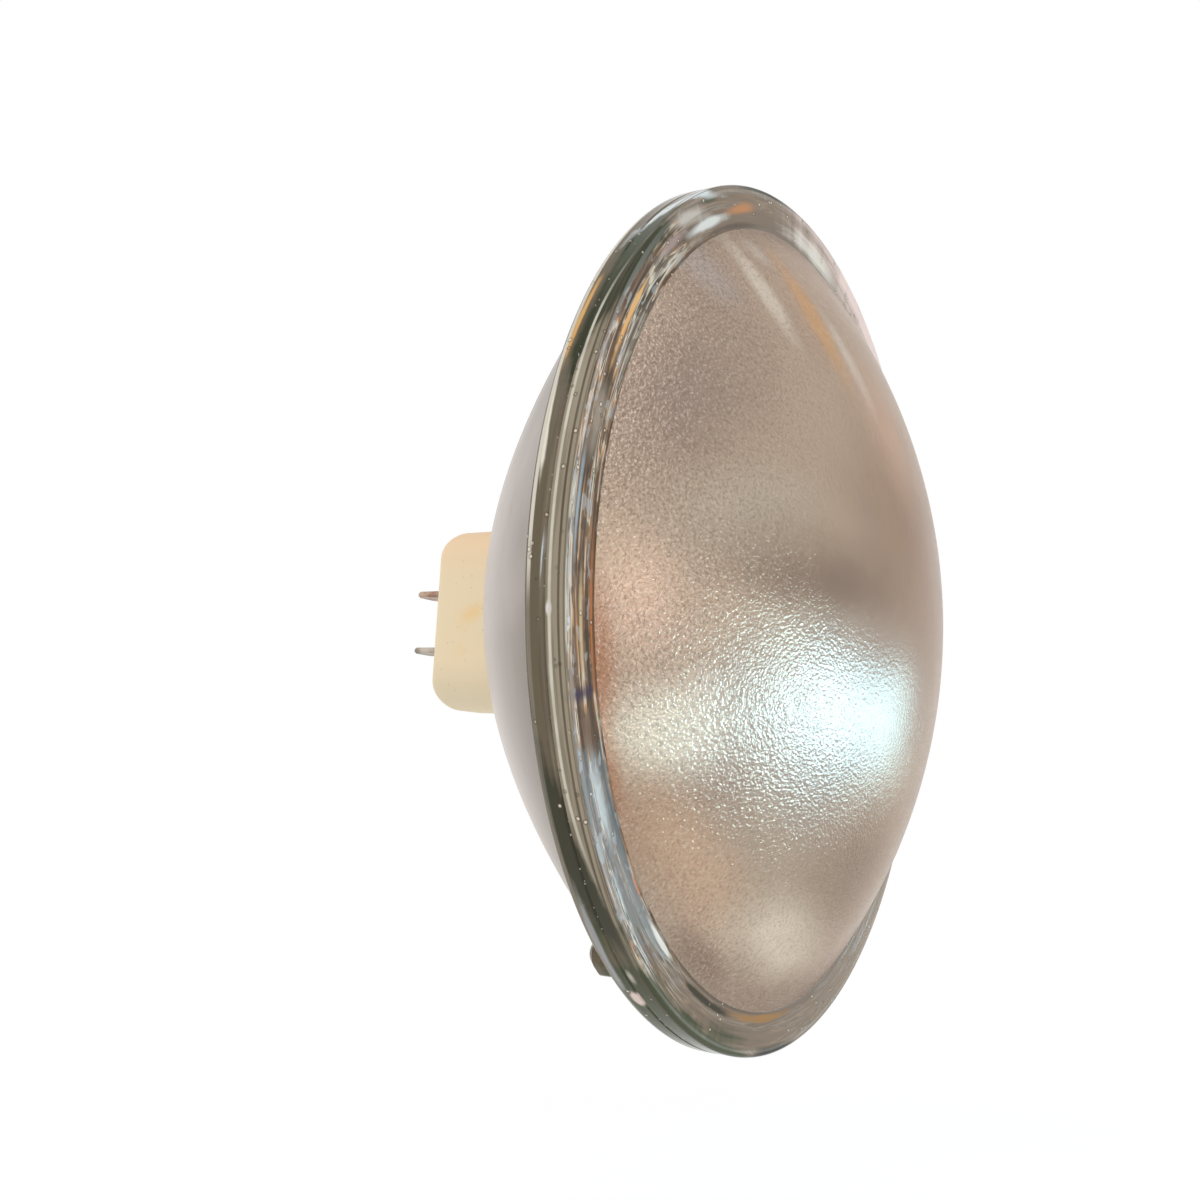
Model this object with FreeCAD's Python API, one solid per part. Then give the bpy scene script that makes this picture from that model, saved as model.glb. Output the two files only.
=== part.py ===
import FreeCAD, Part
import math
import os

# Sealed-beam spotlight lamp, lengths in mm.
# The beam axis lies along Y. The lens faces -Y, the contact blades point to +Y and are stacked along Z.
# The origin is on the beam axis, in the plane where the two glass pressings are fused together.

# Glass rim
rim_radius = 101.6
lens_flange_thickness = 4.3
bowl_flange_thickness = 5.1
seam_chamfer = 0.35
front_corner_radius = 0.8
rear_corner_radius = 2.2

# Lens
lens_flange_width = 9.6
dome_rise = 30.9
lens_wall = 4.5
dome_root_fillet = 1.2

# Reflector bowl, whose mirror is a paraboloid
focal_length = 36.245
seal_land_width = 6.6
bowl_wall = 4.5
bowl_wall_at_rim = 6.3
flange_root_fillet = 1.2

# Seating pads on the back of the rim
pad_count = 3
pad_half_length = 4.3
pad_half_width = 3.2
pad_inset = 0.5
pad_height = 3.0
pad_edge_chamfer = 1.1
first_pad_angle = 20.6

# Glass boss behind the bowl, with the sealed end of the exhaust tube
boss_half_length = 18.0
boss_half_width = 7.0
boss_height = 5.25
exhaust_radius = 3.0
exhaust_bore_radius = 1.3
exhaust_straight_length = 4.0
exhaust_bore_depth = 3.0

# Ceramic base
base_half_length = 24.6
base_half_width = 12.5
base_corner_radius = 8.0
base_length = 27.85
base_side_wall = 4.0
base_rear_wall = 8.0
base_rear_end_fillet = 5.5
base_rear_side_fillet = 2.2
base_bowl_gap = 0.8
base_skirt = 10.5

# Cement between glass and ceramic
cement_inset = 0.8
cement_depth = 4.2

# Contact blades
blade_spacing = 15.88
blade_width = 9.5
blade_thickness = 1.6
blade_reach = 13.3
blade_tip_radius = 2.4
blade_tip_chamfer = 0.45
blade_foot_length = 7.2
blade_bend_radius = 0.4
slot_clearance = 0.15
slot_overcut = 1.0

# Ferrules fused into the glass, and the posts brazed through them
ferrule_spacing = 22.0
ferrule_radius = 3.6
ferrule_wall = 0.5
ferrule_flange_radius = 4.7
ferrule_flange_thickness = 0.6
ferrule_cup_height = 3.2
ferrule_seal_length = 6.5
post_radius = 1.25
post_end_chamfer = 0.25
post_tail = 3.4
post_nose = 1.35

# Straps from the posts to the blades
strap_width = 4.0
strap_thickness = 0.5
strap_bend_radius = 1.0
strap_lap = 6.0
strap_bow = 2.2

# Burner
capsule_radius = 9.5
capsule_wall = 1.2
capsule_straight = 12.0
capsule_tip_radius = 1.6
capsule_tip_end_radius = 0.5
capsule_tip_length = 2.4
pinch_length = 13.0
pinch_overlap = 3.0
pinch_half_width = 7.5
pinch_thickness = 3.6
pinch_rib_width = 1.8
pinch_rib_thickness = 5.2
pinch_rib_fillet = 0.6
lead_spacing = 8.4
foil_width = 3.0
foil_thickness = 0.2
foil_length = 7.0
foil_end_margin = 1.5
foil_lap = 2.0
outer_lead_radius = 0.6
outer_lead_tail = 6.5
inner_lead_radius = 0.6
inner_lead_bend_radius = 1.8
inner_lead_straight = 1.0

# Filament and its anchor
filament_half_length = 6.0
filament_radius = 1.8
filament_wire_radius = 0.35
filament_turns = 6.5
wire_sides = 6
filament_leg = 2.2
leg_clear_length = 1.2
anchor_wire_radius = 0.3
anchor_clearance = 0.08
anchor_seal_length = 3.0

# Tabs that join the posts to the burner
tab_height = 3.6
tab_wall = 0.6
tab_web = 1.0
tab_from_lead_end = 0.8

# Places that follow from the sizes above
dome_edge_radius = rim_radius - lens_flange_width
lens_front = -lens_flange_thickness
lens_apex = lens_front - dome_rise
dome_radius = (dome_edge_radius ** 2 + dome_rise ** 2) / (2 * dome_rise)
dome_centre = lens_apex + dome_radius
flange_back = bowl_flange_thickness
mirror_mouth = rim_radius - seal_land_width
mirror_depth = mirror_mouth ** 2 / (4 * focal_length)
bowl_depth = mirror_depth + bowl_wall
bowl_mouth = math.sqrt(4 * focal_length * (mirror_depth - flange_back)) + bowl_wall_at_rim
outer_focal_length = bowl_mouth ** 2 / (4 * (bowl_depth - flange_back))
pad_centre_radius = rim_radius - pad_inset - pad_half_width
boss_back = bowl_depth + boss_height
base_rear = bowl_depth + base_length
base_floor = base_rear - base_rear_wall
blade_tip = base_rear + blade_reach
post_tail_end = boss_back + ferrule_cup_height + post_tail
focus = mirror_depth - focal_length
capsule_front = focus - capsule_straight / 2
capsule_back = focus + capsule_straight / 2
pinch_front = capsule_back + capsule_radius - pinch_overlap
pinch_back = pinch_front + pinch_length
foil_back = pinch_back - foil_end_margin
foil_front = foil_back - foil_length
outer_lead_end = pinch_back + outer_lead_tail
tab_back = outer_lead_end - tab_from_lead_end
tab_front = tab_back - tab_height
post_front = tab_front - post_nose

beam = FreeCAD.Vector(0, 1, 0)
origin = FreeCAD.Vector(0, 0, 0)


def vec(x, y, z):
    return FreeCAD.Vector(x, y, z)


def section(radius, along):
    """Point of a profile that is turned about the beam axis."""
    return FreeCAD.Vector(radius, along, 0)


def turned(edges):
    """Solid of revolution about the beam axis."""
    return Part.Face(Part.Wire(edges)).revolve(origin, beam, 360)


def line(start, end):
    return Part.makeLine(start, end)


def arc(start, middle, end):
    return Part.Arc(start, middle, end).toShape()


def polyline(points):
    return [line(a, b) for a, b in zip(points, points[1:])]


def parabola(focal_length, depth, radius_from, radius_to):
    """Stretch of a paraboloid's section, whose vertex is at depth behind the seam."""

    def along(radius):
        return depth - radius ** 2 / (4 * focal_length)

    control_radius = (radius_from + radius_to) / 2
    control_along = depth - radius_from * radius_to / (4 * focal_length)
    curve = Part.BezierCurve()
    curve.setPoles([
        section(radius_from, along(radius_from)),
        section(control_radius, control_along),
        section(radius_to, along(radius_to)),
    ])
    return curve.toShape()


def dome_arc(radius, edge_radius):
    """Arc of a dome section from the axis to edge_radius, about the lens centre."""
    half = math.asin(edge_radius / radius)
    points = [
        section(radius * math.sin(angle), dome_centre - radius * math.cos(angle))
        for angle in (0, half / 2, half)
    ]
    return arc(*points), points[0], points[2]


def rod(radius, x, z, along_from, along_to):
    return Part.makeCylinder(radius, along_to - along_from, vec(x, along_from, z), beam)


def rounded_prism(half_width, half_length, corner, along_from, along_to):
    """Prism along the beam with a rounded rectangle for its section, long side along Z."""
    x, z = half_width, half_length
    cx, cz = x - corner, z - corner
    bulge = corner * math.sqrt(0.5)

    def at(px, pz):
        return vec(px, along_from, pz)

    edges = []
    for sx, sz in ((1, 1), (-1, 1), (-1, -1), (1, -1)):
        ends = [at(sx * x, sz * cz), at(sx * cx, sz * z)]
        if sx * sz < 0:
            ends.reverse()
        edges.append(arc(ends[0], at(sx * (cx + bulge), sz * (cz + bulge)), ends[1]))
    corners = list(edges)
    for first, second in zip(corners, corners[1:] + corners[:1]):
        start, end = first.lastVertex().Point, second.firstVertex().Point
        if start.distanceToPoint(end) > 1e-6:
            edges.append(line(start, end))
    face = Part.Face(Part.Wire(Part.__sortEdges__(edges)))
    return face.extrude(beam * (along_to - along_from))


def blended(first, second, corner, radius):
    """Two edges of a profile with a tangent arc put into the corner where they meet."""
    fillet = Part.ChFi2d.FilletAPI(first, second, Part.Plane(origin, vec(0, 0, 1)))
    fillet.perform(radius)
    rounded, first, second = fillet.result(corner)
    return [first, rounded, second]


def bowl_envelope():
    """Everything in front of the bowl's outer surface."""
    edges = [
        parabola(outer_focal_length, bowl_depth, 0, bowl_mouth),
        line(section(bowl_mouth, flange_back), section(bowl_mouth, 0)),
        line(section(bowl_mouth, 0), section(0, 0)),
        line(section(0, 0), section(0, bowl_depth)),
    ]
    return turned(edges)


def make_lens():
    """Pressed glass cover: a domed shell with the flat flange that is fused to the bowl."""
    outer, outer_apex, outer_edge = dome_arc(dome_radius, dome_edge_radius)
    inner_radius = dome_radius - lens_wall
    seam_radius = math.sqrt(inner_radius ** 2 - dome_centre ** 2)
    inner, inner_apex, inner_edge = dome_arc(inner_radius, seam_radius)
    corner = front_corner_radius
    knee = corner * (1 - math.sqrt(0.5))
    flat_end = section(rim_radius - corner, lens_front)
    rim_start = section(rim_radius, lens_front + corner)
    rim_end = section(rim_radius, -seam_chamfer)
    edges = [
        *blended(outer, line(outer_edge, flat_end), outer_edge, dome_root_fillet),
        arc(flat_end, section(rim_radius - knee, lens_front + knee), rim_start),
        *polyline([rim_start, rim_end, section(rim_radius - seam_chamfer, 0), inner_edge]),
        inner,
        line(inner_apex, outer_apex),
    ]
    return turned(edges)


def make_pads():
    """Oblong pads on the back of the rim, which seat the lamp in a ring."""
    pad = rounded_prism(pad_half_length, pad_half_width, pad_half_width, flange_back / 2, flange_back + pad_height)
    pad.translate(vec(0, 0, pad_centre_radius))
    end = [edge for edge in pad.Edges if edge.BoundBox.YMin > flange_back + pad_height - 1e-6]
    pad = pad.makeChamfer(pad_edge_chamfer, end).Solids[0]
    turns = [first_pad_angle + 360 / pad_count * index for index in range(pad_count)]
    return [pad.rotated(origin, beam, -turn) for turn in turns]


def make_exhaust():
    """Stub of the tube that the lamp was pumped through, sealed to a round end."""
    front = bowl_depth - bowl_wall / 2
    back = boss_back + exhaust_straight_length
    bulge = exhaust_radius * math.sqrt(0.5)
    edges = [
        *polyline([section(0, front), section(exhaust_radius, front), section(exhaust_radius, back)]),
        arc(section(exhaust_radius, back), section(bulge, back + bulge), section(0, back + exhaust_radius)),
        line(section(0, back + exhaust_radius), section(0, front)),
    ]
    return turned(edges)


def make_reflector():
    """Pressed glass bowl: a paraboloid with the rim flange, three pads and a boss for the base."""
    corner = rear_corner_radius
    knee = corner * (1 - math.sqrt(0.5))
    rim_end = section(rim_radius, flange_back - corner)
    flat_start = section(rim_radius - corner, flange_back)
    land_start = section(mirror_mouth, 0)
    land_end = section(rim_radius - seam_chamfer, 0)
    root = section(bowl_mouth, flange_back)
    back = parabola(outer_focal_length, bowl_depth, bowl_mouth, 0)
    edges = [
        parabola(focal_length, mirror_depth, 0, mirror_mouth),
        *polyline([land_start, land_end, section(rim_radius, seam_chamfer), rim_end]),
        arc(rim_end, section(rim_radius - knee, flange_back - knee), flat_start),
        *blended(line(flat_start, root), back, root, flange_root_fillet),
        line(section(0, bowl_depth), section(0, mirror_depth)),
    ]
    boss_start = bowl_depth - bowl_wall / 2
    boss = rounded_prism(boss_half_width, boss_half_length, boss_half_width, boss_start, boss_back)
    bowl = turned(edges).fuse([boss, make_exhaust(), *make_pads()])
    inside = mirror_depth - ferrule_radius
    holes = [rod(ferrule_radius, 0, side * ferrule_spacing / 2, inside, boss_back) for side in (1, -1)]
    holes.append(rod(exhaust_bore_radius, 0, 0, inside, boss_back + exhaust_bore_depth))
    return bowl.cut(holes).removeSplitter()


def make_ceramic_base():
    """Hollow ceramic block with a contoured mouth and two slots for the blades."""
    front = bowl_depth - base_skirt
    block = rounded_prism(base_half_width, base_half_length, base_corner_radius, front, base_rear)
    rear_loop = [edge for edge in block.Edges if edge.BoundBox.YMin > base_rear - 1e-6]
    block = soften_rear(block, rear_loop)
    cavity = rounded_prism(
        base_half_width - base_side_wall,
        base_half_length - base_side_wall,
        base_corner_radius - base_side_wall,
        front,
        base_floor,
    )
    mouth_radius = 2 * outer_focal_length + base_bowl_gap
    mouth = Part.makeSphere(mouth_radius, vec(0, bowl_depth + base_bowl_gap - mouth_radius, 0))
    tools = [cavity, mouth]
    for side in (1, -1):
        slot_width = blade_width + 2 * slot_clearance
        slot_height = blade_thickness + 2 * slot_clearance
        slot_depth = base_rear_wall + 2 * slot_overcut
        corner = vec(-slot_width / 2, base_floor - slot_overcut, side * blade_spacing / 2 - slot_height / 2)
        tools.append(Part.makeBox(slot_width, slot_depth, slot_height, corner))
    return block.cut(tools).removeSplitter()


def soften_rear(block, rear_loop):
    """Round the rear edge: wide at the two ends of the block, tighter along its long sides."""
    document = FreeCAD.newDocument("rounding")
    source = document.addObject("Part::Feature", "block")
    source.Shape = block
    rounding = document.addObject("Part::Fillet", "rounding")
    rounding.Base = source
    radii = []
    for number, edge in enumerate(block.Edges, start=1):
        if not any(edge.isSame(other) for other in rear_loop):
            continue
        ends = [base_rear_end_fillet if abs(vertex.Point.z) > base_half_length - 1e-3
                else base_rear_side_fillet for vertex in (edge.firstVertex(True), edge.lastVertex(True))]
        radii.append((number, ends[0], ends[1]))
    rounding.Edges = radii
    document.recompute()
    return rounding.Shape.Solids[0]


def make_cement(ceramic):
    """Cement that fills the joint between bowl, boss and ceramic."""
    fill = rounded_prism(
        base_half_width - cement_inset,
        base_half_length - cement_inset,
        base_corner_radius - cement_inset,
        bowl_depth - base_skirt,
        bowl_depth + cement_depth,
    )
    boss = rounded_prism(boss_half_width, boss_half_length, boss_half_width, 0, boss_back)
    return fill.cut([bowl_envelope(), boss, ceramic]).removeSplitter()


def make_blade(side):
    """Contact blade: a flat strip through the rear wall, with a foot turned outwards inside."""
    inner = side * (blade_spacing - blade_thickness) / 2
    outer = side * (blade_spacing + blade_thickness) / 2
    foot_end = outer + side * blade_foot_length
    foot_front = base_floor - blade_thickness
    corner = blade_bend_radius + blade_thickness
    outline = [
        vec(0, blade_tip, inner),
        vec(0, foot_front + corner, inner),
        vec(0, foot_front, inner + side * corner),
        vec(0, foot_front, foot_end),
        vec(0, base_floor, foot_end),
        vec(0, base_floor, outer),
        vec(0, blade_tip, outer),
    ]
    bend = corner * (1 - math.sqrt(0.5))
    middle = vec(0, foot_front + bend, inner + side * bend)
    edges = [line(outline[0], outline[1]), arc(outline[1], middle, outline[2])]
    edges += polyline(outline[2:] + outline[:1])
    blade = Part.Face(Part.Wire(edges)).extrude(vec(blade_width, 0, 0))
    blade.translate(vec(-blade_width / 2, 0, 0))
    corners = [edge for edge in blade.Edges
               if edge.BoundBox.YMin > blade_tip - 1e-6 and edge.BoundBox.XLength < 1e-6]
    blade = blade.makeFillet(blade_tip_radius, corners)
    tip = [edge for edge in blade.Edges
           if edge.BoundBox.YMin > blade_tip - 1e-6 and edge.BoundBox.ZLength < 1e-6]
    return blade.makeChamfer(blade_tip_chamfer, tip)


def make_ferrule(side):
    """Metal cup whose open end is fused into the glass and whose closed end holds the post."""
    radius, wall = ferrule_radius, ferrule_wall
    front = boss_back - ferrule_seal_length
    flange_rear = boss_back + ferrule_flange_thickness
    back = boss_back + ferrule_cup_height
    points = [
        (radius, front), (radius, boss_back), (ferrule_flange_radius, boss_back),
        (ferrule_flange_radius, flange_rear), (radius, flange_rear), (radius, back),
        (post_radius, back), (post_radius, back - wall), (radius - wall, back - wall), (radius - wall, front),
    ]
    points = [section(*point) for point in points]
    cup = turned(polyline(points + points[:1]))
    cup.translate(vec(0, 0, side * ferrule_spacing / 2))
    return cup


def make_post(side):
    """Stout rod that carries the burner and brings in the current."""
    post = rod(post_radius, 0, side * ferrule_spacing / 2, post_front, post_tail_end)
    ends = [edge for edge in post.Edges if isinstance(edge.Curve, Part.Circle)]
    return post.makeChamfer(post_end_chamfer, ends)


def round_corner(wire, corner, bend):
    """Put a tangent arc into one corner of an open wire."""
    edges = list(wire.OrderedEdges)
    for index, (first, second) in enumerate(zip(edges, edges[1:])):
        meeting = first.lastVertex(True).Point
        if meeting.distanceToPoint(corner) > 1e-6:
            continue
        start, end = first.firstVertex(True).Point, second.lastVertex(True).Point
        into = (corner - start).normalize()
        out = (end - corner).normalize()
        turn = into.getAngle(out)
        back = bend * math.tan(turn / 2)
        before, after = corner - into * back, corner + out * back
        towards = (out - into).normalize()
        centre = corner + towards * (bend / math.cos(turn / 2))
        middle = centre - towards * bend
        edges[index:index + 2] = [line(start, before), arc(before, middle, after), line(after, end)]
        return Part.Wire(edges)
    return wire


def make_strap(side):
    """Soft strip welded to the tail of a post and to the foot of a blade."""
    half = strap_thickness / 2
    beside_post = side * (ferrule_spacing / 2 + post_radius + half)
    under_foot = base_floor - blade_thickness - half
    foot_end = side * (blade_spacing / 2 + blade_foot_length)
    points = [
        vec(0, post_tail_end - post_tail + half, beside_post),
        vec(0, post_tail_end - half, beside_post),
        vec(0, (post_tail_end + under_foot) / 2, beside_post + side * strap_bow),
        vec(0, under_foot, foot_end),
        vec(0, under_foot, foot_end - side * strap_lap),
    ]
    path = Part.Wire(polyline(points))
    for corner in points[1:-1]:
        path = round_corner(path, corner, strap_bend_radius)
    start = points[0]
    profile = Part.makePolygon([
        start + vec(-strap_width / 2, 0, -half), start + vec(strap_width / 2, 0, -half),
        start + vec(strap_width / 2, 0, half), start + vec(-strap_width / 2, 0, half),
        start + vec(-strap_width / 2, 0, -half),
    ])
    return path.makePipeShell([profile], True, False)


def make_outer_lead(side):
    """Pin from the foil in the pinch to the tab behind it, with a flat where it laps the foil."""
    z = side * lead_spacing / 2
    pin = rod(outer_lead_radius, 0, z, foil_back - foil_lap, outer_lead_end)
    return flatten(pin, z, foil_back - foil_lap, foil_back)


def flatten(wire, z, along_from, along_to):
    """Take away the half of a wire that the foil replaces."""
    size = foil_width
    corner = vec(foil_thickness / 2 - size, along_from, z - size / 2)
    return wire.cut(Part.makeBox(size, along_to - along_from, size, corner))


def filament_leg_end(side):
    """Free end of the filament's leg, where the inner lead takes hold of it."""
    pitch = 2 * filament_half_length / filament_turns
    rise = pitch / (2 * math.pi * filament_radius) * filament_leg
    return vec(side * filament_radius, focus + filament_leg, side * (filament_half_length + rise))


def make_inner_lead(side):
    """Wire from the foil into the capsule, bent to take the leg of the filament."""
    z = side * lead_spacing / 2
    end = filament_leg_end(side) - beam * (filament_leg - leg_clear_length)
    knee = capsule_back + inner_lead_straight
    run = math.hypot(end.z - z, end.x)
    points = [vec(0, foil_front, z), vec(0, knee, z), vec(end.x, knee - run, end.z), end]
    path = Part.Wire(polyline(points))
    for corner in points[1:-1]:
        path = round_corner(path, corner, inner_lead_bend_radius)
    circle = Part.makeCircle(inner_lead_radius, points[0], beam)
    wire = path.makePipeShell([Part.Wire(circle)], True, False)
    return flatten(wire, z, foil_front, foil_front + foil_lap)


def make_foil(side):
    """Thin foil that carries the current through the pinched quartz."""
    corner = vec(-foil_thickness / 2, foil_front, side * lead_spacing / 2 - foil_width / 2)
    return Part.makeBox(foil_thickness, foil_length, foil_width, corner)


def make_filament():
    """Coil across the beam, at the focus of the bowl, with a leg at each end that points to the base."""
    pitch = 2 * filament_half_length / filament_turns
    helix = Part.makeHelix(pitch, 2 * filament_half_length, filament_radius)
    helix.rotate(origin, vec(0, 0, 1), 180)
    helix.translate(vec(0, focus, -filament_half_length))
    starts = [vec(side * filament_radius, focus, side * filament_half_length) for side in (-1, 1)]
    ends = [filament_leg_end(side) for side in (-1, 1)]
    path = Part.Wire([line(ends[0], starts[0]), *helix.Edges, line(starts[1], ends[1])])
    along = (starts[0] - ends[0]).normalize()
    sideways = vec(1, 0, 0)
    across = along.cross(sideways)
    corners = []
    for index in range(wire_sides + 1):
        angle = 2 * math.pi * index / wire_sides
        offset = sideways * math.cos(angle) + across * math.sin(angle)
        corners.append(ends[0] + offset * filament_wire_radius)
    return path.makePipeShell([Part.makePolygon(corners)], True, True)


def make_anchor():
    """Fine wire from the pinch with a ring round the middle of the coil."""
    ring_radius = filament_radius + filament_wire_radius + anchor_clearance + anchor_wire_radius
    corners = []
    for index in range(wire_sides + 1):
        angle = 2 * math.pi * index / wire_sides
        along = focus + ring_radius + anchor_wire_radius * math.cos(angle)
        corners.append(vec(0, along, anchor_wire_radius * math.sin(angle)))
    ring = Part.Face(Part.makePolygon(corners)).revolve(vec(0, focus, 0), vec(0, 0, 1), 360)
    stem_end = pinch_front + pinch_overlap + anchor_seal_length
    stem = rod(anchor_wire_radius, 0, 0, focus + ring_radius, stem_end)
    return ring.fuse(stem)


def make_envelope(inside):
    """Quartz capsule: a round-ended tube, its sealed tip and the pinch pressed flat round the foils."""
    r, wall = capsule_radius, capsule_wall

    def pill(radius):
        bulge = radius * math.sqrt(0.5)
        return turned([
            arc(section(0, capsule_front - radius), section(bulge, capsule_front - bulge),
                section(radius, capsule_front)),
            line(section(radius, capsule_front), section(radius, capsule_back)),
            arc(section(radius, capsule_back), section(bulge, capsule_back + bulge),
                section(0, capsule_back + radius)),
            line(section(0, capsule_back + radius), section(0, capsule_front - radius)),
        ])

    tip_root = capsule_front - r + wall / 2
    tip = Part.makeCone(capsule_tip_radius, capsule_tip_end_radius, capsule_tip_length + wall / 2,
                        vec(0, tip_root, 0), beam * -1)
    web = Part.makeBox(pinch_thickness, pinch_length, 2 * pinch_half_width,
                       vec(-pinch_thickness / 2, pinch_front, -pinch_half_width))
    ribs = []
    for side in (1, -1):
        low = min(side * pinch_half_width, side * (pinch_half_width - pinch_rib_width))
        rib = Part.makeBox(pinch_rib_thickness, pinch_length, pinch_rib_width,
                           vec(-pinch_rib_thickness / 2, pinch_front, low))
        long_edges = [edge for edge in rib.Edges if edge.BoundBox.YLength > pinch_length - 1e-6]
        ribs.append(rib.makeFillet(pinch_rib_fillet, long_edges))
    outer = pill(r).fuse([tip, web, *ribs])
    hollow = pill(r - wall)
    return outer.cut([hollow, *inside]).removeSplitter()


def make_tab(side):
    """Clip of strip that wraps a post and a burner lead and joins them."""
    post_z = side * ferrule_spacing / 2
    lead_z = side * lead_spacing / 2
    low = min(post_z, lead_z)
    web = Part.makeBox(tab_web, tab_height, abs(post_z - lead_z), vec(-tab_web / 2, tab_front, low))
    eyes = [
        rod(post_radius + tab_wall, 0, post_z, tab_front, tab_back),
        rod(outer_lead_radius + tab_wall, 0, lead_z, tab_front, tab_back),
    ]
    holes = [
        rod(post_radius, 0, post_z, tab_front, tab_back),
        rod(outer_lead_radius, 0, lead_z, tab_front, tab_back),
    ]
    return web.fuse(eyes).cut(holes).removeSplitter()


def build():
    """Every piece of the lamp by name."""
    nodes = {"lens": make_lens(), "reflector": make_reflector(), "ceramic_base": make_ceramic_base()}
    nodes["base_cement"] = make_cement(nodes["ceramic_base"])
    filament = make_filament()
    inside = []
    for side, name in ((1, "upper"), (-1, "lower")):
        nodes["prong_" + name] = make_blade(side)
        nodes["prong_strap_" + name] = make_strap(side)
        nodes["ferrule_" + name] = make_ferrule(side)
        nodes["support_post_" + name] = make_post(side)
        nodes["burner_tab_" + name] = make_tab(side)
        nodes["outer_lead_" + name] = make_outer_lead(side)
        nodes["foil_" + name] = make_foil(side)
        nodes["inner_lead_" + name] = make_inner_lead(side).cut(filament)
        inside += [nodes[key + name] for key in ("outer_lead_", "foil_", "inner_lead_")]
    nodes["filament"] = filament
    nodes["filament_anchor"] = make_anchor()
    nodes["burner_envelope"] = make_envelope(inside + [nodes["filament_anchor"]])
    return nodes


os.makedirs("parts", exist_ok=True)
for name, shape in build().items():
    solids = shape.Solids
    print(name, "solids", len(solids), "valid", shape.isValid(), "volume", round(shape.Volume, 1))
    shape = solids[0] if len(solids) == 1 else shape
    shape.exportStep("parts/" + name + ".step")
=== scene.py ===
import math

import bmesh
import bpy
from mathutils import Matrix, Vector


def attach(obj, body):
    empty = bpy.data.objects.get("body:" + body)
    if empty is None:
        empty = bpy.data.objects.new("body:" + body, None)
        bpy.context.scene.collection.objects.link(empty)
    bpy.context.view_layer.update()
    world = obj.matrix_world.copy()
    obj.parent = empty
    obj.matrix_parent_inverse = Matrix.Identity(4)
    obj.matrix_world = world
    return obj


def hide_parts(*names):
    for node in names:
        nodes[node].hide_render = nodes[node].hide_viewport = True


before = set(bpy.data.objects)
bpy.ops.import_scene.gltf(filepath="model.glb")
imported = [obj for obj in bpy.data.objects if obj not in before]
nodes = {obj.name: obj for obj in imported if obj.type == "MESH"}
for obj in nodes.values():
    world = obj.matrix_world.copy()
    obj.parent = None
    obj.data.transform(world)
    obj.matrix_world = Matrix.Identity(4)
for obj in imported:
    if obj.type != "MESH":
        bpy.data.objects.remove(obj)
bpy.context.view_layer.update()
print("stage: frame loaded,", len(nodes), "nodes")

mm = 0.001


# Shader sums

class Link:
    # an output socket that can be used in sums
    def __init__(self, look, socket):
        self.look = look
        self.socket = socket

    def sum(self, operation, first, second=0.0):
        return self.look.node("ShaderNodeMath", {"operation": operation}, {0: first, 1: second})

    def __add__(self, other):
        return self.sum("ADD", self, other)

    def __radd__(self, other):
        return self.sum("ADD", other, self)

    def __sub__(self, other):
        return self.sum("SUBTRACT", self, other)

    def __rsub__(self, other):
        return self.sum("SUBTRACT", other, self)

    def __mul__(self, other):
        return self.sum("MULTIPLY", self, other)

    def __rmul__(self, other):
        return self.sum("MULTIPLY", other, self)

    def __truediv__(self, other):
        return self.sum("DIVIDE", self, other)

    def __pow__(self, other):
        return self.sum("POWER", self, other)

    def other(self, name):
        return Link(self.look, self.socket.node.outputs[name])


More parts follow.
